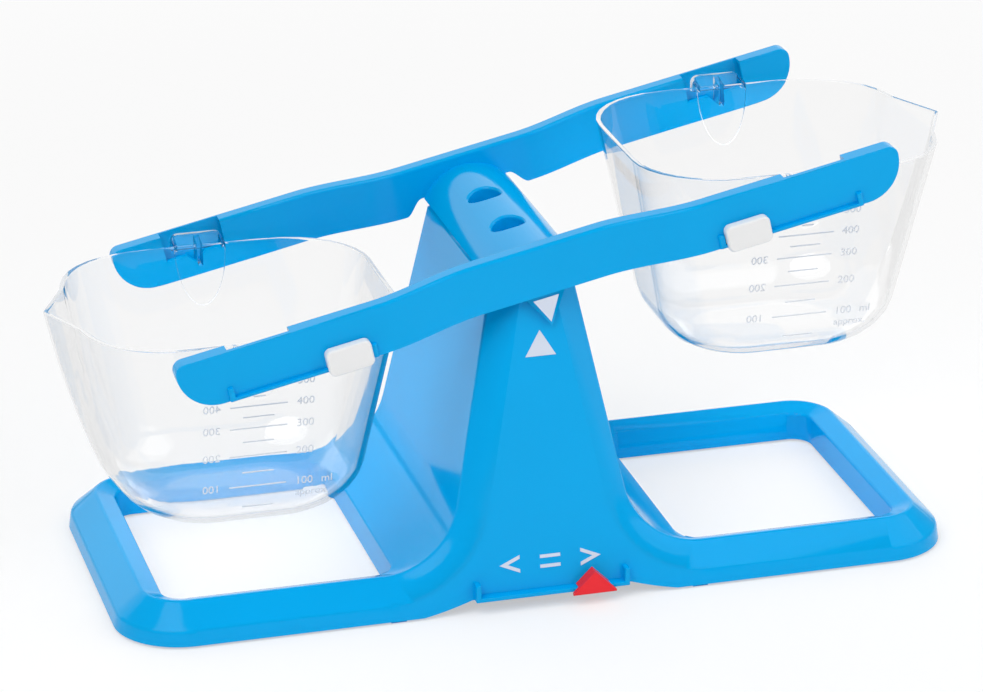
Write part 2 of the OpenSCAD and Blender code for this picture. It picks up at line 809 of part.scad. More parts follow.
// Places a flat outline, drawn downwards from depth d, on the sloped front wall and proud of it by t
module on_wall(d, t) {
    translate([0, -rim_half_w + d * wall_slope + bucket_wall / 2, rim_above - d])
        rotate([90 + wall_lean, 0, 0])
            linear_extrude(bucket_wall / 2 * cos(wall_lean) + t) children();
}

module bucket() {
    bucket_shell();
    for (turn = [0, 180]) rotate([0, 0, turn]) lug();
}

// Graduation lines on the front wall
module scale_marks() {
    for (i = [0:len(mark_shares) - 1]) {
        d = mark_shares[i] * bucket_depth;
        line = i % 2 == 0 ? mark_long : mark_short;
        low = (d / cos(wall_lean) + mark_h) / pad_h;
        on_pad = low < 1;
        w = on_pad ? min(line, lug_w * sqrt(1 - low * low) - mark_h) : line;
        translate([0, -rim_half_w + d * wall_slope, rim_above - d])
            rotate([90 + wall_lean, 0, 0])
                translate([-w / 2, -mark_h / 2, on_pad ? pad_t : 0]) cube([w, mark_h, print_t]);
    }
}

// Hangs what is level from the beams on one side
module hung(side) {
    translate([side * hang_u * cos(tilt) + hang_fall * sin(tilt), 0,
        pivot_z + side * hang_u * sin(tilt) - hang_fall * cos(tilt)]) children();
}

module left_bucket() placed() color(clear) hung(-1) rotate([0, 0, 180]) bucket();

module right_bucket() placed() color(clear) hung(1) bucket();

module left_scale_marks() placed() color(white) hung(-1) scale_marks();

module right_scale_marks() placed() color(white) hung(1) scale_marks();

// Moves the middle of the whole object over the origin
module placed() {
    front = front_y(arch_h) + guide_out + gap + marker_t;
    translate([-hang_fall * sin(tilt), (front - front_y(foot_h)) / 2, 0]) children();
}

base_shell();
front_saddle();
rear_saddle();
balance_mark();
less_sign();
equals_sign();
greater_sign();
answer_marker();
front_beam();
rear_beam();
hub_cap();
front_pin();
rear_pin();
pointer_mark();
left_slider();
right_slider();
left_bucket();
right_bucket();
left_scale_marks();
right_scale_marks();
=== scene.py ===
import json
import math

import bmesh
import bpy
from mathutils import Matrix, Vector
from mathutils.bvhtree import BVHTree


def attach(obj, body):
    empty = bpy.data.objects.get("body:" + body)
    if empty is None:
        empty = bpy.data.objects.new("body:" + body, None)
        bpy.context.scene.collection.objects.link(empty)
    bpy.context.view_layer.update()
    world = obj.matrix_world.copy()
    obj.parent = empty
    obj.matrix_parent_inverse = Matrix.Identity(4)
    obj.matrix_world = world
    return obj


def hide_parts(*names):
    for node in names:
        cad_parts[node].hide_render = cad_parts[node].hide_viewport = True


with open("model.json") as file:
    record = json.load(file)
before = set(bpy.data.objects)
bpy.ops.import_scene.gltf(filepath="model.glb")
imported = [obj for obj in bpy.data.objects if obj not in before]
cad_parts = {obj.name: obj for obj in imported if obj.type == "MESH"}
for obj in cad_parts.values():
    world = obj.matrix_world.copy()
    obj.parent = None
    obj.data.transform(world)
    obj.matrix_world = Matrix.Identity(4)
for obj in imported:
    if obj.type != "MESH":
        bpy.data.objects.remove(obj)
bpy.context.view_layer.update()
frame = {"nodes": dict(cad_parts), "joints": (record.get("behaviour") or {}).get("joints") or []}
MM = 0.001

# Where the beams pivot and where each bucket hangs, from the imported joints
joints = {joint["name"]: joint for joint in frame["joints"]}
hang_points = {
    "left": Vector(joints["left_bucket_swing"]["pos_m"]),
    "right": Vector(joints["right_bucket_swing"]["pos_m"]),
}
pivot = Vector(joints["beam_tilt"]["pos_m"])

# The beams at rest: which way they run, where pockets and notches lie, and where the upper edges start
BEAM_ALONG = Vector(joints["left_slider_slide"]["axis"])
BEAM_UP = Vector((-BEAM_ALONG.z, 0, BEAM_ALONG.x))
HANG_ALONG = 109.8 * MM
POCKET_HALF = 13.2 * MM
TOP_FROM = 9 * MM
NOTCH_HALF = 35 * MM

# The rail that the marker slides on: in front of this line, and not wider than this
GUIDE_FRONT = -68 * MM
GUIDE_HALF = 33 * MM

# The base: its feet end at this height, and the tower's open top starts at this one
FEET_TO = 3 * MM
OPEN_FROM = 120 * MM

# The arched cap on the beams, and the finger holes in it
ARCH_R = 20.741 * MM
ARCH_TOP = 6 * MM
FINGER_Y = 17.19 * MM
FINGER_R = 6.25 * MM

# What cuts a finger hole: the roll of its rim, in steps of so many degrees, and shares of that roll above it
FINGER_ROLL = 1.1 * MM
FINGER_SIDES = 72
ROLL_STEPS = 6
ROLL_STEP = 13
PLUG_CLEAR = 0.06 * MM
PLUG_FROM = -1.2 * MM
PLUG_TO = 4 * MM
PLUG_FLARE = 1.2
PLUG_LIFT = 0.4

# A bucket's front wall: half width at the rim, rim above the hanging axis, and the wall's lean
WALL_HALF = 56 * MM
RIM_ABOVE = 7.6 * MM
WALL_LEAN = math.radians(11.4)
BUCKET_DEPTH = 83.7 * MM
PRINT_THICK = 0.2 * MM

# The pad below a bucket's lug, which carries the upper graduations, and the room left round it
PAD_THICK = 0.8 * MM
PAD_HALF = 10.25 * MM
PAD_FALL = 24 * MM
PAD_ROOM = 1 * MM
PAD_SLACK = 0.2 * MM
RIM_BAND = 0.3 * MM
LUG_BAND = 1.5 * MM

# Graduations: millilitres, share of the depth below the rim, and length of the line in millimetres
GRADUATIONS = [
    (500, 0.211, 22),
    (450, 0.265, 12),
    (400, 0.319, 22),
    (350, 0.376, 12),
    (300, 0.434, 22),
    (250, 0.506, 12),
    (200, 0.578, 22),
    (150, 0.667, 12),
    (100, 0.741, 22),
    (50, 0.848, 12),
]

# Lines from this length on carry figures, and a line on a pad stays this far inside the pad's outline
LONG_LINE = 20
LINE_INSET = 0.6
RIDGE_HEIGHT = 0.6 * MM
RIDGE_SMOOTH = math.radians(50)

# Figures beside the long lines: how far out, and their size in millimetres
FIGURE_OUT = 14.5 * MM
UNIT_OUT = 24.5 * MM
FIGURE_SIZE = 4.6
NOTE_SIZE = 4.2
NOTE_FALL = 5.2 * MM
UNIT_BESIDE = 100
FIGURE_WELD = 0.001 * MM

# Rounding: which edges are sharp, how much of an edge may be used up, what counts as one flat face,
# and how many millimetres off an edge a test ray starts
SHARP_FROM = math.radians(28)
ROOM_SHARE = 0.98
LEAST_SLOPE = 0.05
FLAT_WITHIN = math.radians(0.6)
WELD = 0.002 * MM
RAY_STEP = 0.1

# How far a face's normal points along one axis, from 0 to 1
SQUARE_ON = 0.9
MOSTLY = 0.7
HALF_ON = 0.5
HARDLY = 0.3

# The photograph's camera, in pixels and millimetres of sensor
PHOTO_WIDTH = 983
FOCAL_PIXELS = 4365.5
SENSOR = 36


def new_object(name, data):
    """A new object in the scene, at the origin."""
    made = bpy.data.objects.new(name, data)
    bpy.context.scene.collection.objects.link(made)
    return made


# Shader groups

def shader_group(name, inputs, outputs):
    tree = bpy.data.node_groups.new(name, "ShaderNodeTree")
    for label, kind, value in inputs:
        socket = tree.interface.new_socket(label, in_out="INPUT", socket_type=kind)
        socket.default_value = value
    for label, kind in outputs:
        tree.interface.new_socket(label, in_out="OUTPUT", socket_type=kind)
    return tree, tree.nodes.new("NodeGroupInput"), tree.nodes.new("NodeGroupOutput")


def math_node(tree, operation, a, b):
    node = tree.nodes.new("ShaderNodeMath")
    node.operation = operation
    for socket, value in zip(node.inputs, (a, b)):
        if isinstance(value, (int, float)):
            socket.default_value = value
        else:
            tree.links.new(value, socket)
    return node.outputs["Value"]


def noise_node(tree, scale, detail, coords):
    node = tree.nodes.new("ShaderNodeTexNoise")
    node.inputs["Detail"].default_value = detail
    tree.links.new(coords, node.inputs["Vector"])
    if isinstance(scale, (int, float)):
        node.inputs["Scale"].default_value = scale
    else:
        tree.links.new(scale, node.inputs["Scale"])
    return node.outputs["Fac"]


def moulded_skin_group():
    """Moulded plastic: faint flow shading, a roughness that wanders, and an orange-peel height."""
    tree, given, made = shader_group(
        "moulded skin",
        [
            ("Colour", "NodeSocketColor", (0.5, 0.5, 0.5, 1)),
            ("Shade", "NodeSocketFloat", 0.08),
            ("Flow scale", "NodeSocketFloat", 18),
            ("Gloss", "NodeSocketFloat", 0.2),
            ("Gloss spread", "NodeSocketFloat", 0.08),
            ("Peel scale", "NodeSocketFloat", 900),
        ],
        [("Colour", "NodeSocketColor"), ("Roughness", "NodeSocketFloat"), ("Height", "NodeSocketFloat")],
    )
    coords = tree.nodes.new("ShaderNodeTexCoord").outputs["Object"]
    flow = noise_node(tree, given.outputs["Flow scale"], 3, coords)
    swing = math_node(tree, "SUBTRACT", flow, 0.5)
    value = math_node(tree, "ADD", math_node(tree, "MULTIPLY", swing, given.outputs["Shade"]), 1)
    tint = tree.nodes.new("ShaderNodeHueSaturation")
    tree.links.new(given.outputs["Colour"], tint.inputs["Color"])
    tree.links.new(value, tint.inputs["Value"])
    tree.links.new(tint.outputs["Color"], made.inputs["Colour"])
    wander_scale = 55
    wander = noise_node(tree, wander_scale, 2, coords)
    spread = math_node(tree, "MULTIPLY", wander, given.outputs["Gloss spread"])
    tree.links.new(math_node(tree, "ADD", spread, given.outputs["Gloss"]), made.inputs["Roughness"])
    tree.links.new(noise_node(tree, given.outputs["Peel scale"], 1, coords), made.inputs["Height"])
    return tree


def handling_marks_group():
    """Fine hairline marks from handling, as a mask from 0 to 1."""
    tree, given, made = shader_group(
        "handling marks",
        [("Scale", "NodeSocketFloat", 60), ("Amount", "NodeSocketFloat", 0.1)],
        [("Mask", "NodeSocketFloat")],
    )
    coords = tree.nodes.new("ShaderNodeTexCoord").outputs["Object"]
    streak_from = 0.68
    patch_scale = 22
    patch_from = 0.52
    masks = []
    for turn, stretch in ((0.5, 26), (-0.9, 34)):
        placed = tree.nodes.new("ShaderNodeMapping")
        placed.inputs["Rotation"].default_value = (turn, 0.7 * turn, 1.3 * turn)
        placed.inputs["Scale"].default_value = (1, stretch, stretch)
        tree.links.new(coords, placed.inputs["Vector"])
        streak = noise_node(tree, given.outputs["Scale"], 2, placed.outputs["Vector"])
        masks.append(math_node(tree, "GREATER_THAN", streak, streak_from))
    both = math_node(tree, "MAXIMUM", masks[0], masks[1])
    patch = noise_node(tree, patch_scale, 2, coords)
    thin = math_node(tree, "MULTIPLY", both, math_node(tree, "GREATER_THAN", patch, patch_from))
    tree.links.new(math_node(tree, "MULTIPLY", thin, given.outputs["Amount"]), made.inputs["Mask"])
    return tree


MOULDED_SKIN = moulded_skin_group()
HANDLING_MARKS = handling_marks_group()


def place_group(tree, group, **values):
    node = tree.nodes.new("ShaderNodeGroup")
    node.node_tree = group
    for label, value in values.items():
        node.inputs[label.replace("_", " ")].default_value = value
    return node


# Materials

def blank_material(name):
    """A new material, its node tree and its shader."""
    mat = bpy.data.materials.new(name)
    mat.use_nodes = True
    return mat, mat.node_tree, mat.node_tree.nodes["Principled BSDF"]


def moulded_plastic(name, colour, gloss, shade=0.08, spread=0.08, peel=0.004, marks=0.12):
    """Solid moulded plastic. The peel is the depth of its orange peel in millimetres."""
    mat, tree, shader = blank_material(name)
    skin = place_group(tree, MOULDED_SKIN, Colour=(*colour, 1), Shade=shade, Gloss=gloss, Gloss_spread=spread)
    worn = place_group(tree, HANDLING_MARKS, Scale=60.0, Amount=marks)
    bump = tree.nodes.new("ShaderNodeBump")
    bump.inputs["Strength"].default_value = 0.12
    bump.inputs["Distance"].default_value = peel * MM
    rough = math_node(tree, "ADD", skin.outputs["Roughness"], worn.outputs["Mask"])
    tree.links.new(skin.outputs["Colour"], shader.inputs["Base Color"])
    tree.links.new(rough, shader.inputs["Roughness"])
    tree.links.new(skin.outputs["Height"], bump.inputs["Height"])
    tree.links.new(bump.outputs["Normal"], shader.inputs["Normal"])
    shader.inputs["IOR"].default_value = 1.5
    shader.inputs["Specular IOR Level"].default_value = 0.13
    return mat


def let_by(tree, share, shader, colour):
    """Lets a share of the light straight through a clear wall, so that it isn't lost between its faces."""
    through = tree.nodes.new("ShaderNodeBsdfTransparent")
    through.inputs["Color"].default_value = colour
    mix = tree.nodes.new("ShaderNodeMixShader")
    tree.links.new(share, mix.inputs["Fac"])
    tree.links.new(shader, mix.inputs[1])
    tree.links.new(through.outputs["BSDF"], mix.inputs[2])
    return mix.outputs["Shader"]


def clear_plastic(name):
    """Clear plastic with painted shade: it turns greyer where it is seen at a slant."""
    mat, tree, shader = blank_material(name)
    colour = (0.978, 0.977, 0.976, 1)
    slant_power = 2.5
    most_walls = 7
    skin = place_group(tree, MOULDED_SKIN, Colour=colour, Shade=0.02, Gloss=0.015, Gloss_spread=0.02)
    worn = place_group(tree, HANDLING_MARKS, Scale=60.0, Amount=0.06)
    rough = math_node(tree, "ADD", skin.outputs["Roughness"], worn.outputs["Mask"])
    # Painted shade: the colour is mixed towards grey where the wall is seen at a slant, in place of the
    # darker edges that light gives a clear wall.
    slant = tree.nodes.new("ShaderNodeLayerWeight")
    slant.inputs["Blend"].default_value = 0.5
    tint = tree.nodes.new("ShaderNodeMix")
    tint.data_type = "RGBA"
    tint.inputs["B"].default_value = (0.64, 0.625, 0.61, 1)
    tree.links.new(math_node(tree, "POWER", slant.outputs["Facing"], slant_power), tint.inputs["Factor"])
    tree.links.new(skin.outputs["Colour"], tint.inputs["A"])
    tree.links.new(tint.outputs["Result"], shader.inputs["Base Color"])
    tree.links.new(rough, shader.inputs["Roughness"])
    shader.inputs["Transmission Weight"].default_value = 1
    shader.inputs["IOR"].default_value = 1.4
    path = tree.nodes.new("ShaderNodeLightPath")
    caught = math_node(tree, "GREATER_THAN", path.outputs["Glossy Depth"], 0.5)
    deep = math_node(tree, "GREATER_THAN", path.outputs["Transmission Depth"], most_walls)
    lost = math_node(tree, "MAXIMUM", caught, deep)
    inside = let_by(tree, lost, shader.outputs["BSDF"], (0.95, 0.955, 0.96, 1))
    lit = let_by(tree, path.outputs["Is Shadow Ray"], inside, (0.97, 0.97, 0.975, 1))
    tree.links.new(lit, tree.nodes["Material Output"].inputs["Surface"])
    return mat


def ground_steel(name):
    """The pins' metal, with the same skin and more marks."""
    mat = moulded_plastic(name, (0.6, 0.61, 0.63), 0.22, shade=0.05, spread=0.12, peel=0.002, marks=0.25)
    mat.node_tree.nodes["Principled BSDF"].inputs["Metallic"].default_value = 1
    return mat


blue = moulded_plastic("sky blue plastic", (0.0, 0.385, 0.81), 0.08, spread=0.06, marks=0.04)
white = moulded_plastic("white plastic", (0.84, 0.84, 0.84), 0.25, shade=0.05)
red = moulded_plastic("red plastic", (0.89, 0.03, 0.04), 0.2)
ink = moulded_plastic("pale print", (0.66, 0.72, 0.84), 0.42, shade=0.06, marks=0.2)
acetal = moulded_plastic("bearing plastic", (0.82, 0.81, 0.77), 0.35, shade=0.06)
steel = ground_steel("ground steel")
clear = clear_plastic("clear plastic")
frost = moulded_plastic("raised clear figures", (0.8, 0.82, 0.86), 0.35, shade=0.04)


# Pieces

def finished(piece, body, slot, material, *nodes):
    """Gives a piece its material and the body it rides on, and hides the CAD nodes it stands for. The slot is
    not used.
    """
    piece.data.materials.clear()
    piece.data.materials.append(material)
    for face in piece.data.polygons:
        face.material_index = 0
    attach(piece, body)
    if nodes:
        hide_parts(*nodes)


def plain_mesh(name, source):
    """Turns an object with live modifiers into an object with a plain mesh."""
    bpy.context.view_layer.update()
    held = bpy.context.evaluated_depsgraph_get()
    mesh = bpy.data.meshes.new_from_object(source.evaluated_get(held))
    mesh.name = name
    bpy.data.objects.remove(source)
    return new_object(name, mesh)


def merged_copy(node):
    """A copy of a CAD node's mesh, with its loose triangles joined into flat faces."""
    bm = bmesh.new()
    bm.from_mesh(frame["nodes"][node].data)
    bmesh.ops.remove_doubles(bm, verts=bm.verts, dist=WELD)
    bmesh.ops.dissolve_limit(bm, angle_limit=FLAT_WITHIN, verts=bm.verts, edges=bm.edges)
    return bm


def corner_need(vert, edge, face, chosen, width):
    """How much of an edge's length the rounding of its face's edges takes up at one end."""
    loop = next(held for held in vert.link_loops if held.face == face)
    other = loop.link_loop_prev.edge if loop.edge == edge else loop.edge
    towards = edge.other_vert(vert).co - vert.co
    beside = other.other_vert(vert).co - vert.co
    inner = towards.angle(beside, 0)
    if other not in chosen:
        return 0
    if edge in chosen:
        return width / max(math.tan(inner / 2), LEAST_SLOPE)
    return width / max(math.sin(inner), LEAST_SLOPE)


def edges_with_room(bm, width, wanted):
    """Sharp edges that can be rounded over a width without running into each other."""
    chosen = {
        edge
        for edge in bm.edges
        if len(edge.link_faces) == 2 and edge.calc_face_angle(0) > SHARP_FROM and wanted(edge)
    }
    crowded = True
    while crowded:
        crowded = set()
        for face in bm.faces:
            for loop in face.loops:
                edge = loop.edge
                need = sum(corner_need(vert, edge, face, chosen, width) for vert in edge.verts)
                if need > ROOM_SHARE * edge.calc_length():
                    around = [edge, loop.link_loop_prev.edge, loop.link_loop_next.edge]
                    crowded.add(min((e for e in around if e in chosen), key=lambda e: e.calc_length()))
        chosen -= crowded
    return [edge for edge in bm.edges if edge in chosen]


def any_edge(edge):
    return True


def middle_of(edge):
    return (edge.verts[0].co + edge.verts[1].co) / 2


def nearest_hang(spot):
    return hang_points["left" if spot.x < 0 else "right"]


def smoothed(name, raw, smooth):
    """Shades a piece smoothly up to an angle, with its broad faces left flat."""
    raw.data.shade_smooth()
    raw.data.set_sharp_from_angle(angle=math.radians(smooth))
    even = raw.modifiers.new("even shading", "WEIGHTED_NORMAL")
    even.mode = "FACE_AREA"
    even.weight = 100
    even.keep_sharp = True
    return plain_mesh(name, raw)


def rounded(node, *passes, smooth=40):
    """A copy of a CAD node with rounded edges. A pass is a width in mm, its segments and an edge test."""
    bm = merged_copy(node)
    for width, segments, wanted in passes:
        bmesh.ops.bevel(
            bm,
            geom=edges_with_room(bm, width * MM, wanted),
            offset=width * MM,
            segments=segments,
            profile=0.5,
            affect="EDGES",
            clamp_overlap=False,
            miter_outer="ARC",
        )
    mesh = bpy.data.meshes.new(node + "_raw")
    bm.to_mesh(mesh)
    bm.free()
    raw = new_object(node + "_raw", mesh)
    return smoothed(node + "_rounded", raw, smooth)


def on_beam(edge):
    """An edge's middle, as distances along the beams from the pivot, to the rear and up."""
    middle = middle_of(edge) - pivot
    return middle.dot(BEAM_ALONG), middle.y, middle.dot(BEAM_UP)


def beam_outline(node):
    """Makes a test for the outline of a beam's outer face and the upper edge of its inner face."""
    mesh = frame["nodes"][node].data
    solid = BVHTree.FromPolygons([v.co for v in mesh.vertices], [p.vertices for p in mesh.polygons])

    def wanted(edge):
        rim, face = sorted(edge.link_faces, key=lambda f: abs(f.normal.y))
        along, across, height = on_beam(edge)
        if not edge.is_convex or abs(face.normal.y) < MOSTLY or abs(rim.normal.y) > HARDLY:
            return False
        if across > 0 and height < 0 and abs(along) < NOTCH_HALF:
            return False
        if face.normal.y * across < 0:
            return rim.normal.dot(BEAM_UP) > MOSTLY and height > TOP_FROM
        beside = middle_of(edge) + (face.normal - rim.normal) * RAY_STEP * MM
        return solid.ray_cast(beside, face.normal)[0] is None

    return wanted


def plain_stretch(edge):
    """What sticks out between the pockets and the notch at the pivot."""
    along = on_beam(edge)[0]
    return edge.is_convex and abs(along) > NOTCH_HALF and abs(abs(along) - HANG_ALONG) > POCKET_HALF


def on_guide(edge):
    """The marker's rail and its stops, low on the tower's front."""
    return all(vert.co.y < GUIDE_FRONT and abs(vert.co.x) < GUIDE_HALF for vert in edge.verts)


def guide_edge(edge):
    """What sticks out on the marker's rail."""
    return edge.is_convex and on_guide(edge)


def above_the_feet(edge):
    """The base's outer edges between its feet and the tower's open top, without the marker's rail."""
    height = (edge.verts[0].co.z + edge.verts[1].co.z) / 2
    return edge.is_convex and FEET_TO < height < OPEN_FROM and not on_guide(edge)


def front_outline(edge):
    """The outline of a face that looks to the front."""
    return any(face.normal.y < -SQUARE_ON for face in edge.link_faces)


def clear_of_pad(edge):
    """Leaves the pads below the lugs as they are."""
    middle = middle_of(edge)
    hang = nearest_hang(middle)
    return abs(middle.x - hang.x) > PAD_HALF + PAD_ROOM or middle.z > hang.z + RIM_ABOVE - RIM_BAND


def pad_outline(edge):
    """The curved outline of a pad's outer face, below its lug."""
    middle = middle_of(edge)
    out = middle - nearest_hang(middle)
    side, face = sorted(edge.link_faces, key=lambda f: f.normal.y * out.y)
    low = RIM_ABOVE - LUG_BAND
    if not edge.is_convex or abs(out.x) > PAD_HALF + PAD_SLACK or not low - PAD_FALL < out.z < low:
        return False
    return abs(face.normal.y) > SQUARE_ON and abs(side.normal.y) < HALF_ON


def finger_plug(across):
    """What a finger hole with a rolled rim takes out of the arch, built in rings round the hole's axis."""
    wide = FINGER_R + PLUG_FLARE * FINGER_ROLL
    bm = bmesh.new()
    grid = []
    for k in range(FINGER_SIDES):
        turn = 2 * math.pi * k / FINGER_SIDES
        reach = (FINGER_R + FINGER_ROLL) * math.cos(turn)
        top = ARCH_TOP - ARCH_R + math.sqrt(ARCH_R ** 2 - reach ** 2)
        spots = [(FINGER_R + PLUG_CLEAR, PLUG_FROM), (FINGER_R + PLUG_CLEAR, top - FINGER_ROLL)]
        for step in range(1, ROLL_STEPS + 1):
            lift = math.radians(ROLL_STEP * step)
            out = FINGER_R + FINGER_ROLL * (1 - math.cos(lift)) + PLUG_CLEAR
            spots.append((out, top - FINGER_ROLL * (1 - math.sin(lift))))
        spots.append((wide, top + PLUG_LIFT * FINGER_ROLL))
        spots.append((wide, ARCH_TOP + PLUG_TO))
        row = []
        for out, up in spots:
            side = Vector((0, across + out * math.sin(turn), 0))
            row.append(bm.verts.new(pivot + BEAM_ALONG * out * math.cos(turn) + side + BEAM_UP * up))
        grid.append(row)
    for k, row in enumerate(grid):
        after = grid[(k + 1) % FINGER_SIDES]
        for j in range(len(row) - 1):
            bm.faces.new((row[j], after[j], after[j + 1], row[j + 1]))
    bm.faces.new([row[0] for row in reversed(grid)])
    bm.faces.new([row[-1] for row in grid])
    bmesh.ops.recalc_face_normals(bm, faces=bm.faces)
    mesh = bpy.data.meshes.new("finger_plug")
    bm.to_mesh(mesh)
    bm.free()
    return new_object("finger_plug", mesh)


def hub_with_rolled_holes():
    """The arched cap, with both finger holes rolled over at the rim."""
    hub = rounded("hub_cap")
    plugs = [finger_plug(-FINGER_Y), finger_plug(FINGER_Y)]
    for plug in plugs:
        hole = hub.modifiers.new("finger hole", "BOOLEAN")
        hole.operation = "DIFFERENCE"
        hole.solver = "EXACT"
        hole.object = plug
    cut = plain_mesh("hub_cap_cut", hub)
    for plug in plugs:
        bpy.data.objects.remove(plug)
    return smoothed("hub_cap_rolled", cut, smooth=32)


base = rounded("base_shell", (1, 3, above_the_feet), (0.4, 2, guide_edge))
finished(base, "base", "blue_plastic", blue, "base_shell")
finished(hub_with_rolled_holes(), "beam", "blue_plastic", blue, "hub_cap")
for node in ("front_beam", "rear_beam"):
    beam = rounded(node, (1.3, 4, beam_outline(node)), (0.4, 2, plain_stretch))
    finished(beam, "beam", "blue_plastic", blue, node)
for side in ("left", "right"):
    slider = rounded(side + "_slider", (0.9, 3, front_outline), (0.4, 2, any_edge))
    finished(slider, side + "_slider", "white_plastic", white, side + "_slider")
    bucket = rounded(side + "_bucket", (0.5, 2, clear_of_pad), (0.35, 2, pad_outline))
    finished(bucket, side + "_bucket", "clear_plastic", clear, side + "_bucket")
marker = rounded("answer_marker", (0.8, 3, front_outline))
finished(marker, "marker", "red_plastic", red, "answer_marker")

for node, material in (
    ("front_saddle", acetal),
    ("rear_saddle", acetal),
    ("front_pin", steel),
    ("rear_pin", steel),
    ("balance_mark", ink),
    ("less_sign", ink),
    ("equals_sign", ink),
    ("greater_sign", ink),
    ("pointer_mark", ink),
):
    mesh = frame["nodes"][node].data
    mesh.materials.clear()
    mesh.materials.append(material)


# Graduation lines and the figures beside them

def graduation_tree():
    """Lays a low rounded ridge across the wall at every point, as long as the point says."""
    tree = bpy.data.node_groups.new("graduation lines", "GeometryNodeTree")
    for label, kind in (
        ("Points", "NodeSocketGeometry"),
        ("Ridge height", "NodeSocketFloat"),
        ("Ridge thickness", "NodeSocketFloat"),
        ("Wall turn", "NodeSocketFloat"),
        ("Finish", "NodeSocketMaterial"),
    ):
        tree.interface.new_socket(label, in_out="INPUT", socket_type=kind)
    tree.interface.new_socket("Lines", in_out="OUTPUT", socket_type="NodeSocketGeometry")
    make = tree.nodes.new
    join = tree.links.new
    given = make("NodeGroupInput")
    spine = make("GeometryNodeCurvePrimitiveLine")
    spine.inputs["Start"].default_value = (-0.5, 0, 0)
    spine.inputs["End"].default_value = (0.5, 0, 0)
    section = make("GeometryNodeCurvePrimitiveCircle")
    section.inputs["Resolution"].default_value = 12
    section.inputs["Radius"].default_value = 0.5
    ridge = make("GeometryNodeCurveToMesh")
    ridge.inputs["Fill Caps"].default_value = True
    join(spine.outputs["Curve"], ridge.inputs["Curve"])
    join(section.outputs["Curve"], ridge.inputs["Profile Curve"])
    length = make("GeometryNodeInputNamedAttribute")
    length.data_type = "FLOAT"
    length.inputs["Name"].default_value = "line_length"
    size = make("ShaderNodeCombineXYZ")
    join(length.outputs["Attribute"], size.inputs["X"])
    join(given.outputs["Ridge height"], size.inputs["Y"])
    join(given.outputs["Ridge thickness"], size.inputs["Z"])
    turn = make("ShaderNodeCombineXYZ")
    join(given.outputs["Wall turn"], turn.inputs["X"])
    placed = make("GeometryNodeInstanceOnPoints")
    join(given.outputs["Points"], placed.inputs["Points"])
    join(ridge.outputs["Mesh"], placed.inputs["Instance"])
    join(turn.outputs["Vector"], placed.inputs["Rotation"])
    join(size.outputs["Vector"], placed.inputs["Scale"])
    solid = make("GeometryNodeRealizeInstances")
    join(placed.outputs["Instances"], solid.inputs["Geometry"])
    coat = make("GeometryNodeSetMaterial")
    join(solid.outputs["Geometry"], coat.inputs["Geometry"])
    join(given.outputs["Finish"], coat.inputs["Material"])
    join(coat.outputs["Geometry"], make("NodeGroupOutput").inputs["Lines"])
    return tree


GRADUATION_TREE = graduation_tree()


def on_front_wall(side, share):
    """Matrix that stands a flat outline on a bucket's front wall at a share of its depth."""
    depth = share * BUCKET_DEPTH
    place = hang_points[side] + Vector((0, -WALL_HALF + depth * math.tan(WALL_LEAN), RIM_ABOVE - depth))
    return Matrix.Translation(place) @ Matrix.Rotation(math.pi / 2 + WALL_LEAN, 4, "X")


def graduation_lines(side):
    """The raised lines on one bucket. On the pad they stand on its face and keep within its outline."""
    places = []
    lengths = []
    for _, share, length in GRADUATIONS:
        low = (share * BUCKET_DEPTH / math.cos(WALL_LEAN) + LINE_INSET * MM) / PAD_FALL
        on_pad = low < 1
        if on_pad:
            length = min(length, 2 * PAD_HALF / MM * math.sqrt(1 - low ** 2) - LINE_INSET)
        places.append(on_front_wall(side, share) @ Vector((0, 0, PAD_THICK if on_pad else 0)))
        lengths.append(length * MM)
    mesh = bpy.data.meshes.new("graduation_points")
    mesh.from_pydata(places, [], [])
    held = mesh.attributes.new("line_length", "FLOAT", "POINT")
    held.data.foreach_set("value", lengths)
    points = new_object("graduation_points", mesh)
    lines = points.modifiers.new("graduation lines", "NODES")
    lines.node_group = GRADUATION_TREE
    items = GRADUATION_TREE.interface.items_tree
    sockets = {item.name: item.identifier for item in items if item.in_out == "INPUT"}
    lines[sockets["Ridge height"]] = RIDGE_HEIGHT
    lines[sockets["Ridge thickness"]] = 2 * PRINT_THICK
    lines[sockets["Wall turn"]] = math.pi / 2 + WALL_LEAN
    lines[sockets["Finish"]] = frost
    piece = plain_mesh(side + "_graduation_lines", points)
    piece.data.shade_smooth()
    piece.data.set_sharp_from_angle(angle=RIDGE_SMOOTH)
    finished(piece, side + "_bucket", "print", frost, side + "_scale_marks")


def figure(words, size):
    """A flat raised figure or word, as a plain mesh."""
    curve = bpy.data.curves.new("figure", "FONT")
    curve.body = words
    curve.size = size * MM
    curve.extrude = PRINT_THICK / 2
    curve.align_x = "LEFT"
    curve.align_y = "CENTER"
    return plain_mesh("figure", new_object("figure", curve))


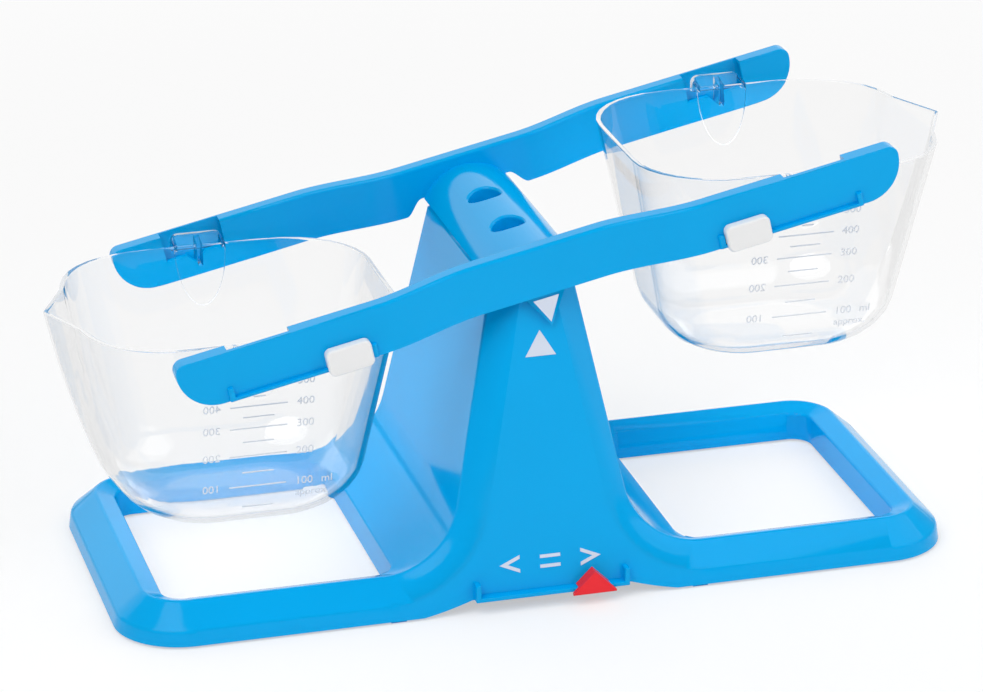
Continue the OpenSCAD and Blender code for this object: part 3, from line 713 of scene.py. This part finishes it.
def bucket_figures(side):
    """Figures beside the long lines, readable on the right and in mirror image on the left."""
    joined = bmesh.new()

    def stand(words, size, share, x, fall=0, facing=1):
        piece = figure(words, size)
        turn = Matrix.Diagonal((facing, 1, 1, 1))
        spot = Matrix.Translation((x, -fall, PRINT_THICK / 2))
        piece.data.transform(on_front_wall(side, share) @ spot @ turn)
        joined.from_mesh(piece.data)
        bpy.data.objects.remove(piece)

    for amount, share, length in GRADUATIONS:
        if length < LONG_LINE:
            continue
        stand(str(amount), FIGURE_SIZE, share, FIGURE_OUT)
        stand(str(amount), FIGURE_SIZE, share, -FIGURE_OUT, facing=-1)
        if amount == UNIT_BESIDE:
            stand("ml", FIGURE_SIZE, share, UNIT_OUT)
            stand("approx.", NOTE_SIZE, share, FIGURE_OUT, fall=NOTE_FALL)
    bmesh.ops.remove_doubles(joined, verts=joined.verts, dist=FIGURE_WELD)
    bmesh.ops.recalc_face_normals(joined, faces=joined.faces)
    mesh = bpy.data.meshes.new(side + "_figures")
    joined.to_mesh(mesh)
    joined.free()
    finished(new_object(side + "_figures", mesh), side + "_bucket", "print", frost)


for side in ("left", "right"):
    graduation_lines(side)
    bucket_figures(side)


# Studio

def studio_floor():
    """A pale floor that keeps the shadow near the object and is plain white further out."""
    mesh = bpy.data.meshes.new("floor")
    reach = 6
    mesh.from_pydata(
        [(-reach, -reach, 0), (reach, -reach, 0), (reach, reach, 0), (-reach, reach, 0)], [], [(0, 1, 2, 3)]
    )
    floor = new_object("floor", mesh)
    mat, tree, shader = blank_material("pale floor")
    shader.inputs["Base Color"].default_value = (0.97, 0.97, 0.97, 1)
    shader.inputs["Roughness"].default_value = 0.8
    shader.inputs["Specular IOR Level"].default_value = 0.1
    path = tree.nodes.new("ShaderNodeLightPath")
    mirrored = math_node(tree, "MAXIMUM", path.outputs["Is Glossy Ray"], path.outputs["Is Transmission Ray"])
    seen = math_node(tree, "MAXIMUM", path.outputs["Is Camera Ray"], mirrored)
    spot = tree.nodes.new("ShaderNodeTexCoord").outputs["Object"]
    away = tree.nodes.new("ShaderNodeVectorMath")
    away.operation = "LENGTH"
    tree.links.new(spot, away.inputs[0])
    far = tree.nodes.new("ShaderNodeMapRange")
    far.interpolation_type = "SMOOTHSTEP"
    far.inputs["From Min"].default_value = 0.3
    far.inputs["From Max"].default_value = 1.3
    far.inputs["To Min"].default_value = 0.5
    far.inputs["To Max"].default_value = 1
    tree.links.new(away.outputs["Value"], far.inputs["Value"])
    glow = tree.nodes.new("ShaderNodeEmission")
    mix = tree.nodes.new("ShaderNodeMixShader")
    tree.links.new(math_node(tree, "MULTIPLY", seen, far.outputs["Result"]), mix.inputs["Fac"])
    tree.links.new(shader.outputs["BSDF"], mix.inputs[1])
    tree.links.new(glow.outputs["Emission"], mix.inputs[2])
    tree.links.new(mix.outputs["Shader"], tree.nodes["Material Output"].inputs["Surface"])
    mesh.materials.append(mat)


def area_lamp(name, shape, size, power, place):
    data = bpy.data.lights.new(name, "AREA")
    data.shape = shape
    data.size = size
    data.energy = power
    lamp = new_object(name, data)
    lamp.location = place
    return lamp


def soft_lamp(name, place, aim, size, power):
    """A round soft lamp that points at a spot."""
    lamp = area_lamp(name, "DISK", size, power, place)
    lamp.rotation_euler = (Vector(aim) - Vector(place)).to_track_quat("-Z", "Y").to_euler()


def backdrop_lamp(place, width, height, power):
    """A broad soft panel behind the object, for its upper faces to mirror."""
    lamp = area_lamp("backdrop", "RECTANGLE", width, power, place)
    lamp.data.size_y = height
    lamp.rotation_euler = (math.radians(-90), 0, 0)


def studio_world(strength, clear_strength):
    """Soft white light all round, brighter through clear plastic, and plain white to the camera."""
    world = bpy.data.worlds.new("studio")
    bpy.context.scene.world = world
    world.use_nodes = True
    tree = world.node_tree
    back = tree.nodes["Background"]
    back.inputs["Color"].default_value = (1, 1, 1, 1)
    path = tree.nodes.new("ShaderNodeLightPath")
    inside = math_node(tree, "GREATER_THAN", path.outputs["Transmission Depth"], 0.5)
    turned = math_node(tree, "MULTIPLY", path.outputs["Is Glossy Ray"], inside)
    through = math_node(tree, "MAXIMUM", path.outputs["Is Transmission Ray"], turned)
    extra = math_node(tree, "MULTIPLY", through, clear_strength - strength)
    seen = math_node(tree, "MULTIPLY", path.outputs["Is Camera Ray"], 1 - strength)
    lift = math_node(tree, "ADD", extra, seen)
    tree.links.new(math_node(tree, "ADD", lift, strength), back.inputs["Strength"])


def photo_camera():
    """The camera that took the photograph, as fitted to the base's edges."""
    azimuth = math.radians(-14.91)
    elevation = math.radians(21.34)
    roll = math.radians(-0.58)
    away = 1703.2 * MM
    target = Vector((-3.83, 2.21, 78.95)) * MM
    back = Vector(
        (
            math.sin(azimuth) * math.cos(elevation),
            -math.cos(azimuth) * math.cos(elevation),
            math.sin(elevation),
        )
    )
    right = Vector((math.cos(azimuth), math.sin(azimuth), 0))
    up = back.cross(right)
    turned = right * math.cos(roll) + up * math.sin(roll)
    raised = up * math.cos(roll) - right * math.sin(roll)
    data = bpy.data.cameras.new("camera")
    data.sensor_fit = "HORIZONTAL"
    data.sensor_width = SENSOR
    data.lens = FOCAL_PIXELS * SENSOR / PHOTO_WIDTH
    data.clip_start = 0.05
    data.clip_end = 50
    camera = new_object("camera", data)
    place = target + back * away
    camera.matrix_world = Matrix(
        (
            (turned.x, raised.x, back.x, place.x),
            (turned.y, raised.y, back.y, place.y),
            (turned.z, raised.z, back.z, place.z),
            (0, 0, 0, 1),
        )
    )
    bpy.context.scene.camera = camera


studio_floor()
studio_world(strength=0.3, clear_strength=0.9)
middle = (0, 0, 0.06)
soft_lamp("key", place=(-0.9, -0.9, 1.6), aim=middle, size=1.7, power=22)
soft_lamp("fill", place=(1.1, -0.6, 1.1), aim=middle, size=1.9, power=12)
backdrop_lamp(place=(0, 1.7, 0.95), width=4, height=1.6, power=22)
photo_camera()
bpy.context.scene.view_settings.view_transform = "Standard"
